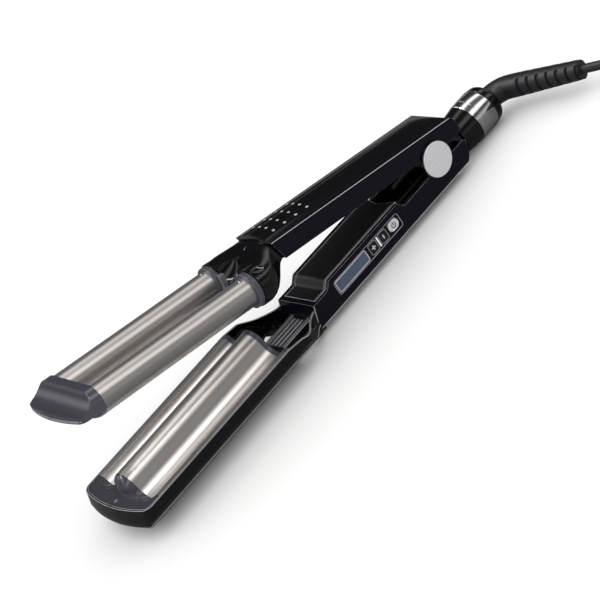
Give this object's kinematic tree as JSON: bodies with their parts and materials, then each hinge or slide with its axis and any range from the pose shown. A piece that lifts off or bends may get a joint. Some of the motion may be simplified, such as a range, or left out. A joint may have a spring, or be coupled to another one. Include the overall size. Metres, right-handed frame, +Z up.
{
  "type": "hair waver",
  "caption": "Hand-held electric hair waver: heated round barrels on a spring-opened upper arm nest into a wave-shaped heated plate on the lower arm, with display, keys and swivel cord.",
  "frame": {"origin": "on the flat resting face under the lower handle, straight below the hinge axis, on the plane of symmetry of the handle", "axes": "+X along the lower arm to the tips, +Y to the side with the display and keys, +Z up, the way the upper arm opens"},
  "size_m": [0.3748, 0.1019, 0.0911],
  "materials": {
    "gloss_black": "high gloss",
    "satin_black": "fine satin",
    "ceramic": "fired",
    "lens": "smoked clear",
    "lcd": "dark panel",
    "board": "laminate",
    "steel": "plain",
    "bright": "polished and brushed",
    "titanium": "satin titanium-toned",
    "ring_grey": "matt heat-resistant",
    "cap_grey": "satin heat-resistant",
    "mica": "sheet",
    "sensor": "coated",
    "wire": "insulation",
    "brass": "plain",
    "cord": "soft matt",
    "carrier": "extruded",
    "post_grey": "satin"
  },
  "bodies": {
    "lower_arm": {"lower_side_frame": "gloss_black", "lower_bottom_cover": "gloss_black", "lower_inner_cover": "satin_black", "control_bezel": "satin_black", "divider_bar": "ceramic", "display_lens": "lens", "display_module": "lcd", "control_board": "board", "key_switches": "steel", "trough_shell": "gloss_black", "neck_bridge": "satin_black", "wave_plate": "titanium", "plate_end_band": "ring_grey", "lower_tip_cap": "cap_grey", "cap_screw": "steel", "plate_heater": "ceramic", "heater_clamp": "steel", "insulation_sheet": "mica", "thermal_sensor": "sensor", "pivot_pin": "steel", "pivot_disc_left": "bright", "pivot_disc_right": "bright", "disc_rings": "gloss_black", "torsion_spring": "steel", "lower_wiring": "wire", "lower_screws": "steel", "collar_sleeve": "gloss_black", "chrome_ring": "bright"},
    "upper_arm": {"upper_side_frame": "gloss_black", "upper_top_cover": "gloss_black", "upper_inner_cover": "satin_black", "upper_yoke": "gloss_black", "upper_tip_cap": "cap_grey", "upper_screws": "steel", "upper_wiring": "wire", "barrel_left": "titanium", "barrel_right": "titanium", "neck_rings": "ring_grey", "heater_carriers": "carrier", "barrel_heaters": "ceramic", "barrel_sensor": "sensor", "yoke_post": "post_grey", "pivot_bushes": "brass"},
    "cord_swivel": {"swivel_cap": "gloss_black", "slip_rings": "brass", "strain_relief": "cord", "power_cord": "cord"},
    "plus_key": {"plus_button": "satin_black"},
    "minus_key": {"minus_button": "satin_black"},
    "power_key": {"power_button": "bright"}
  },
  "joints": [
    {"name": "arm_hinge", "type": "hinge", "parent": "lower_arm", "child": "upper_arm", "pos_m": [0, 0, 0.023], "axis": [0, 1, 0], "range_deg": [0, 12.7], "stiffness_Nm_per_rad": 0.6, "springref_deg": -28.65},
    {"name": "cord_turn", "type": "hinge", "parent": "lower_arm", "child": "cord_swivel", "pos_m": [-0.045, 0, 0.0132], "axis": [1, 0, 0], "continuous": true},
    {"name": "plus_press", "type": "slide", "parent": "lower_arm", "child": "plus_key", "axis": [0, -1, 0], "range_m": [0, 0.0006], "stiffness_N_per_m": 800},
    {"name": "minus_press", "type": "slide", "parent": "lower_arm", "child": "minus_key", "axis": [0, -1, 0], "range_m": [0, 0.0006], "stiffness_N_per_m": 800},
    {"name": "power_press", "type": "slide", "parent": "lower_arm", "child": "power_key", "axis": [0, -1, 0], "range_m": [0, 0.0006], "stiffness_N_per_m": 800}
  ]
}
